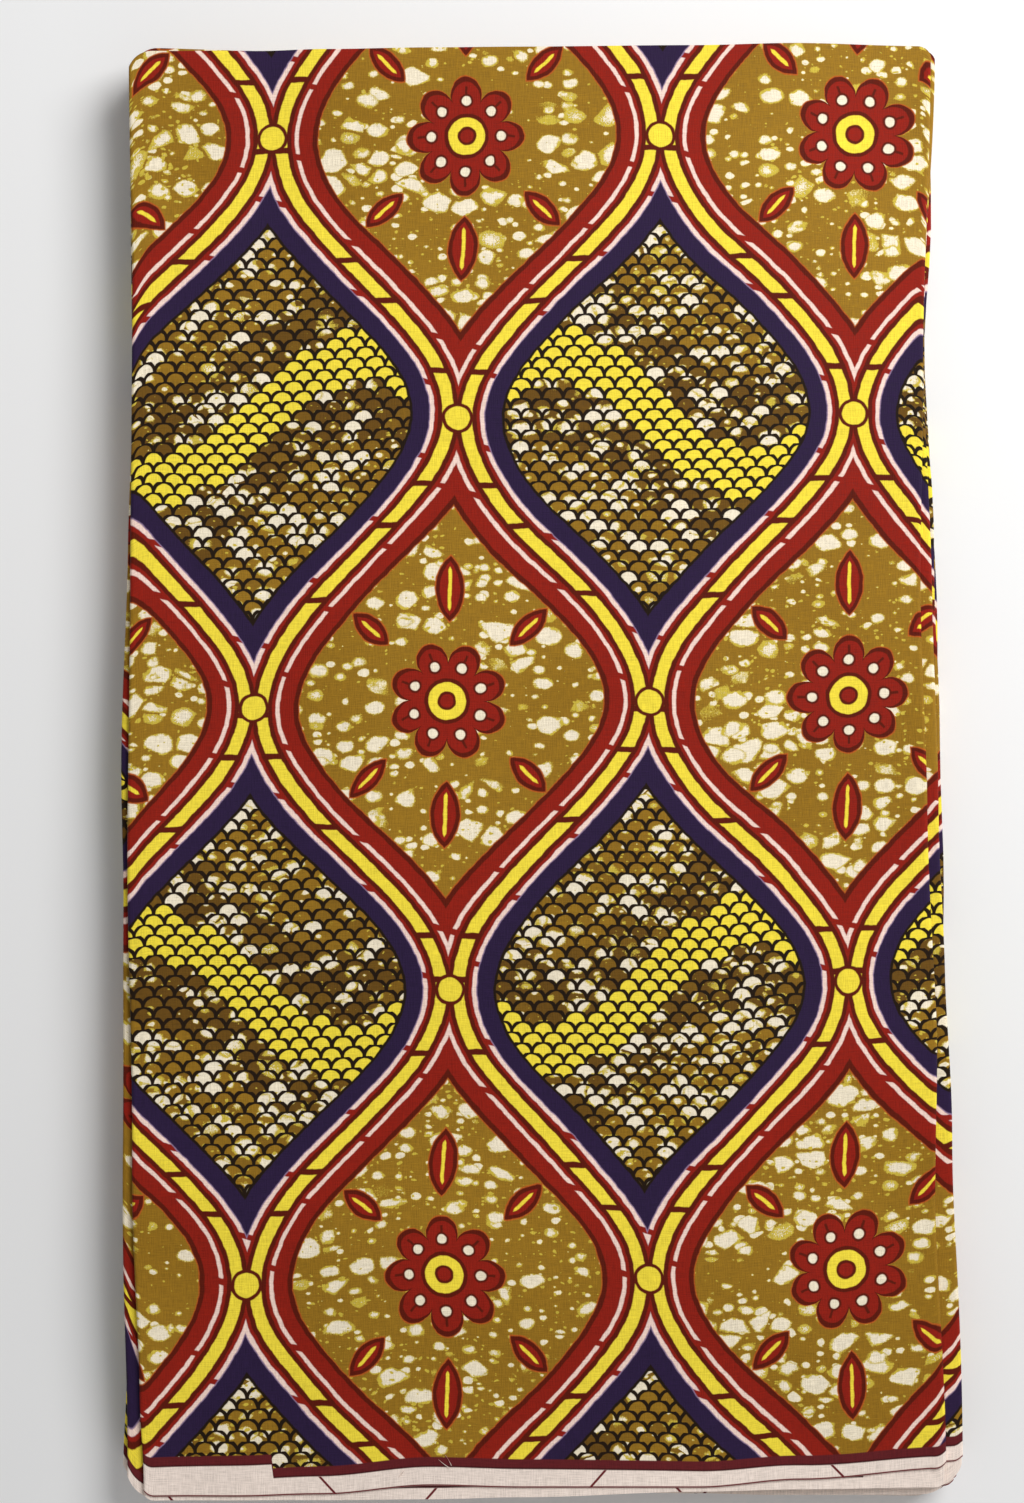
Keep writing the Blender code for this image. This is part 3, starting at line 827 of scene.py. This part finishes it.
def flower(shade, colour, x, y, second):
    """A round flower and six leaves on a colour.

    The flower's outline is r (w + (1 - w) |cos(n a / 2)|^p) at an angle a, and every second one
    is turned by half a petal.
    """
    distance = shade.length(x, y)
    angle = shade.math("ARCTAN2", y, x) + second * (math.pi / PETALS)
    swing = abs(shade.math("COSINE", angle * (0.5 * PETALS))) ** PETAL_ROUND
    colour = shade.layers(colour, distance / (swing * (1.0 - PETAL_WAIST) + PETAL_WAIST), PETAL_EDGES)
    across = shade.wrap(angle, math.pi / PETALS) * distance
    vein = shade.below(abs(across), VEIN) * shade.between(distance, VEIN_IN, VEIN_OUT)
    colour = shade.mix(vein, colour, linear(MAROON))
    colour = shade.layers(colour, shade.length(distance - DOT_AT, across), DOT)
    colour = shade.layers(colour, distance, RINGS)
    for leaf_x, leaf_y, turn, length, width in LEAVES:
        side_x, side_y = abs(x) - leaf_x, abs(y) - leaf_y
        along = side_y * math.cos(turn) - side_x * math.sin(turn)
        across = side_x * math.cos(turn) + side_y * math.sin(turn)
        edge = leaf(shade, across, along, length, width)
        colour = shade.layers(colour, edge, LEAF_EDGES)
        vein = shade.below(abs(across), LEAF_VEIN) * shade.below(edge, LEAF_VEIN_END)
        colour = shade.mix(vein, colour, linear(YELLOW))
    return colour


def grounds(shade, scaled, x, y, second, tone):
    """Both kinds of field: olive that turns ochre, and fish scales each of its own brown.

    A band winds through the scales, whose middle is at y = -h sin(2 pi x / l). Returns the colour,
    each scale's lot, and how far a point is from an outline and its scale from the band's middle.
    """
    ochre = shade.mix(shade.step(tone, *OCHRE_STEP), linear(OLIVE, OLIVE_GLOW), linear(OCHRE))
    outline, lot, scale_x, scale_y = scales(shade, x, y, SCALE_WIDTH)
    mirror = 1.0 - second * 2.0
    wave = shade.math("SINE", scale_x * mirror * (math.tau / WAVE_LENGTH)) * WAVE_HEIGHT
    from_band = abs(scale_y + wave)
    dark = shade.between(from_band, 0.0, BROWN_BAND, BROWN_SOFT) * BROWN_SHADE + (lot - 0.5) * SCALE_SHADE
    brown = shade.mix(shade.clamp(dark), linear(OCHRE, SCALE_DIM), linear(BROWN))
    return shade.mix(scaled, ochre, brown), lot, outline, from_band


def dashes(shade, at, every):
    """1 on dashes along a line, and 0 in the breaks between them."""
    return shade.below(abs(shade.wrap(at, 0.5 * every)), 0.5 * (every - BREAK))


def framed(shade, colour, scaled, inset, x, v, knot):
    """The frame round the fields, from the field inwards to the ribbon's middle."""
    for reach, further, by_flowers, by_scales in FRAME:
        band = shade.mix(scaled, linear(by_flowers), linear(by_scales))
        colour = shade.mix(shade.below(inset - scaled * further, reach), colour, band)
    dash = dashes(shade, v + x * DASH_LEAN, DASH_EVERY)
    line = shade.between(inset, LINE_IN, LINE_OUT)
    colour = shade.mix(shade.below(inset, LINE_OUT) * (1.0 - dash * line), colour, linear(RED))
    colour = shade.mix(line * dash, colour, linear(ROSE_WHITE))
    colour = shade.mix(shade.below(inset, RIBBON_EDGE), colour, linear(MAROON))
    ribbon = shade.below(inset, RIBBON)
    for first, every in TIES:
        ribbon = ribbon * dashes(shade, v - first, every)
    colour = shade.mix(ribbon, colour, linear(YELLOW))
    return shade.layers(colour, knot, KNOT)


def selvedge(shade, colour, u, v):
    """Both selvedges: a dark border, then bare cotton with thin marks that lean each way by turns.

    The short ply's bare strip is wider, and a thin line follows its edge.
    """
    long_ply = shade.math("GREATER_THAN", v, 0.5 * CLOTH_WIDTH)
    from_edge = 0.5 * CLOTH_WIDTH - abs(v - 0.5 * CLOTH_WIDTH)
    block_u = shade.wrap(u - BARE_BLOCK_AT - long_ply * BARE_BLOCK_ASIDE, 0.5 * BARE_BLOCK_EVERY)
    block = shade.below(abs(block_u), 0.5 * BARE_BLOCK, BARE_BLOCK_SOFT)
    wave = shade.math("COSINE", (u - BARE_WIDEST_AT) * (math.tau / BARE_WAVE))
    wider = (1.0 - long_ply) * (wave * BARE_SWING + BARE_WIDER)
    inside = from_edge - (wider + block * BARE_BLOCK_RISE + BARE_SELVEDGE)
    colour = shade.layers(colour, inside, BARE_EDGES)
    mark_u = u - MARK_AT + long_ply * MARK_ASIDE
    odd = shade.math("ROUND", mark_u / MARK_EVERY) % 2.0
    slant = shade.wrap(mark_u, 0.5 * MARK_EVERY) + (odd * 2.0 - 1.0) * from_edge * MARK_LEAN
    mark = shade.below(abs(slant), MARK) * shade.below(inside, 0.0) * (1.0 - block)
    line = shade.between(from_edge, 0.0, EDGE_LINE, EDGE_LINE_SOFT) * (1.0 - long_ply)
    return shade.mix(shade.math("MAXIMUM", mark, line), colour, linear(MARK_RED))


def wax_print():
    """Printed cotton: winding ribbons part fields of bubbled ochre and of fish scales."""
    shade = Shade("wax_printed_cotton")
    cloth = shade.node("ShaderNodeUVMap", {"uv_map": "cloth"}).outputs[0]
    place = shade.move(cloth, (1.0 / METRE, 1.0 / METRE, 0.0))
    plain_u, plain_v, _ = shade.split(place)
    _, drift = shade.noise(place, *DRIFT_NOISE)
    _, crumple = shade.noise(place, *CRUMPLE_NOISE)
    grain, grains = shade.noise(place, *GRAIN_NOISE)
    tone, _, _ = shade.split(drift)
    _, speckle, _ = shade.split(grains)
    drawn = shade.move(crumple, (CRUMPLE, CRUMPLE, 0.0), place)
    drawn = shade.move(drift, (DRIFT, DRIFT, 0.0), drawn)
    u, v, _ = shade.split(drawn)
    u, v = u - v * SLANT, v + PRINT_START

    # Fields: a flower on one kind, and a yellow band under dark outlines on the other
    inset, scaled, x, y, second, knot = layout(shade, u, v)
    ground, lot, outline, from_band = grounds(shade, scaled, x, y, second, tone)
    fill = scaled * (shade.step(lot, *WHITE_STEP) * WHITE - WHITE_LESS)
    ground = bubbled(shade, ground, place, drift, crumple, grain, speckle, fill)
    banded = shade.mix(shade.below(from_band, YELLOW_BAND, SHARP), ground, linear(YELLOW))
    banded = shade.mix(shade.below(outline, SCALE_LINE, SCALE_LINE_SOFT), banded, linear(BLACK))
    colour = shade.mix(scaled, flower(shade, ground, x, y, second), banded)
    colour = framed(shade, colour, scaled, inset, x, v, knot)
    colour = selvedge(shade, colour, plain_u, plain_v)

    # Threads of uneven thickness both ways, and dye that took unevenly
    along, across = THREAD_NOISE
    warp, _ = shade.noise(shade.move(place, (along, across, 0.0)), 1.0, 0.0)
    weft, _ = shade.noise(shade.move(place, (across, along, 0.0)), 1.0, 0.0)
    threads = warp + weft - 1.0
    uneven = threads * THREAD_SHADE + (tone - 0.5) * TONE_SHADE + (grain - 0.5) * GRAIN_SHADE
    bump = shade.node("ShaderNodeBump", None, {"Strength": 0.35, "Distance": 0.0002, "Height": threads})
    return shade.finish({
        "Base Color": shade.dim(colour, uneven + 1.0),
        "Roughness": threads * THREAD_ROUGHNESS + CLOTH_ROUGHNESS,
        "Normal": bump.outputs[0],
        "Specular IOR Level": 0.12,
        "Sheen Weight": 0.03,
        "Sheen Roughness": 0.5,
    })


def tubes(name, path, radius, sides, material):
    """Closed tubes along paths that lie nearly level: path + r (cos a sideways + sin a up) round each.

    The path's array runs along steps, tubes and x, y, z.
    """
    way = np.gradient(path, axis=0)
    sideways = np.stack([-way[..., 1], way[..., 0], np.zeros_like(way[..., 0])], axis=2)
    sideways = sideways / np.linalg.norm(sideways, axis=2, keepdims=True)
    around = np.arange(sides) * (math.tau / sides)
    reach = (radius * np.ones(path.shape[:2]))[:, :, None, None]
    up = np.array([0.0, 0.0, 1.0])
    ring = sideways[:, :, None, :] * np.cos(around)[:, None] + up * np.sin(around)[:, None]
    points = path[:, :, None, :] + reach * ring
    steps, count = path.shape[:2]
    numbers = np.arange(steps * count * sides).reshape(steps, count, sides)
    after = np.roll(numbers, -1, axis=2)
    walls = np.stack([numbers[:-1], numbers[1:], after[1:], after[:-1]], axis=3).reshape(-1, 4)
    faces = walls.tolist() + numbers[0].tolist() + numbers[-1][:, ::-1].tolist()
    mesh = bpy.data.meshes.new(name)
    mesh.from_pydata((points.reshape(-1, 3) * METRE).tolist(), [], faces)
    mesh.shade_smooth()
    mesh.materials.append(material)
    return add_object(name, mesh)


def frayed_ends(material):
    """Thread ends along the cloth's cut edge, at the right of the lowest lap.

    Each leaves the edge and bends aside and down: a start plus its reach times s, and a bend times s^2.
    """
    chance = np.random.default_rng(FRAY_SEED)
    y = chance.uniform(SELVEDGE_Y + FRAY_MARGIN, CREASE_Y - FRAY_MARGIN, FRAYS)
    start_z = np.where(chance.random(FRAYS) < 0.5, *FRAY_Z)
    reach = chance.uniform(*FRAY_REACH, FRAYS)
    bend = chance.uniform(-FRAY_BEND, FRAY_BEND, FRAYS)
    s = np.linspace(FRAY_START, 1.0, FRAY_STEPS)[:, None]
    out = np.clip(s, 0.0, 1.0)
    edge_x = run(LAPS - 1, np.array([1.0]), y).x[0]
    fall = (start_z - FRAY_FLOOR) * FRAY_DROP
    path = [edge_x + PLY + reach * s, y + bend * out ** 2, start_z - fall * out ** 2]
    radius = FRAY_RADIUS * (1.0 - FRAY_TAPER * out)
    return tubes("frayed_ends", np.stack(path, axis=2), radius, FRAY_SIDES, material)


def top_z(x, y):
    """z of the top lap's upper face over some places."""
    left_x, right_x = fold_x(0, y), fold_x(1, y)
    shares = (x - left_x - FOLD_REACH) / (right_x - left_x - 2.0 * FOLD_REACH)
    top = run(0, shares.ravel(), y.ravel())
    return np.diagonal(top.z + top.half).reshape(x.shape) + mounds(CREASES, x, y)


def loose_threads(material):
    """Short ends of yarn that lie on the cloth near its selvedge.

    Each is an arc: it starts at a place, turns evenly from one heading to another, and lifts a
    little at its end, by s^3.
    """
    s = np.linspace(0.0, 1.0, YARN_STEPS)[:, None]
    start_x, start_y, length, heading, turn = np.array(LOOSE_THREADS).T
    angle = np.radians(heading) + np.radians(turn) * s
    x = start_x + np.cumsum(np.cos(angle), axis=0) * length / YARN_STEPS
    y = start_y + np.cumsum(np.sin(angle), axis=0) * length / YARN_STEPS
    z = top_z(x, y) + YARN_REST + YARN_LIFT * s ** 3
    return tubes("loose_threads", np.stack([x, y, z], axis=2), YARN_RADIUS, YARN_SIDES, material)


def yarn():
    """Bare cotton yarn, dyed here and there."""
    shade = Shade("cotton_yarn")
    place = shade.node("ShaderNodeTexCoord").outputs["Object"]
    tint, _ = shade.noise(shade.move(place, TINT_SCALE), TINT_NOISE)
    twist, _ = shade.noise(shade.move(place, TWIST_SCALE), 1.0)
    colour = shade.mix(shade.step(tint, *TINT_STEP), linear(BARE_COTTON), linear(RED))
    bump = shade.node("ShaderNodeBump", None, {"Strength": 0.3, "Distance": 0.0001, "Height": twist})
    return shade.finish({
        "Base Color": shade.dim(colour, twist * TWIST_SHADE + TWIST_LEAST),
        "Normal": bump.outputs[0],
        "Roughness": 0.7,
    })


def floor():
    """A plain pale floor."""
    mesh = bpy.data.meshes.new("floor")
    corners = [(-1.0, -1.0), (1.0, -1.0), (1.0, 1.0), (-1.0, 1.0)]
    mesh.from_pydata([(x * FLOOR_REACH, y * FLOOR_REACH, 0.0) for x, y in corners], [], [(0, 1, 2, 3)])
    mesh.materials.append(Shade("pale_floor").finish({"Base Color": FLOOR_COLOUR, "Roughness": 0.85}))
    add_object("floor", mesh)


def camera():
    """Almost overhead, a little to the selvedges' side, at the photograph's scale."""
    data = bpy.data.cameras.new("camera")
    data.sensor_width = SENSOR
    data.lens = SENSOR * PIXELS_PER_METRE * CAMERA_DISTANCE / IMAGE_HEIGHT
    seer = add_object("camera", data)
    back = Vector((0.0, -math.sin(CAMERA_TILT), math.cos(CAMERA_TILT)))
    seer.location = Vector(AIM) + CAMERA_DISTANCE * back
    seer.rotation_euler = (CAMERA_TILT, 0.0, 0.0)
    bpy.context.scene.camera = seer


def lights():
    """A soft key at the upper right, a weak fill on the selvedges and a pale room."""
    for name, place, aim, size, power in LIGHTS:
        data = bpy.data.lights.new(name, "AREA")
        data.size = size
        data.energy = power
        lamp = add_object(name, data)
        lamp.location = place
        lamp.rotation_euler = (Vector(aim) - Vector(place)).to_track_quat("-Z", "Y").to_euler()
    world = bpy.data.worlds.new("studio")
    world.use_nodes = True
    background = world.node_tree.nodes["Background"]
    background.inputs["Color"].default_value = (1.0, 1.0, 1.0, 1.0)
    background.inputs["Strength"].default_value = ROOM
    bpy.context.scene.world = world
    bpy.context.scene.view_settings.view_transform = "Standard"


camera()
cotton = wax_print()
stretches = (
    ("front_cloth", "front_folds", front_strip, (TOP_ROWS, FRONT_ROWS), stands_off),
    ("inner_cloth", "inner_folds", inner_strip, (HIDDEN_ROWS, HIDDEN_ROWS), None),
    ("back_cloth", "back_lap", back_strip, (HIDDEN_ROWS, HIDDEN_ROWS), None),
)
reference, start = TOP_MIDDLE, TOP_START
for name, node, make_strip, rows, rise in stretches:
    cloth, begin, end = doubled_cloth(name, make_strip, rows, reference, start, cotton, rise)
    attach(cloth, "root")
    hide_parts(node)
    reference, start = 0, end
cotton_yarn = yarn()
for piece in (frayed_ends(cotton_yarn), loose_threads(cotton_yarn)):
    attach(piece, "root")
floor()
lights()
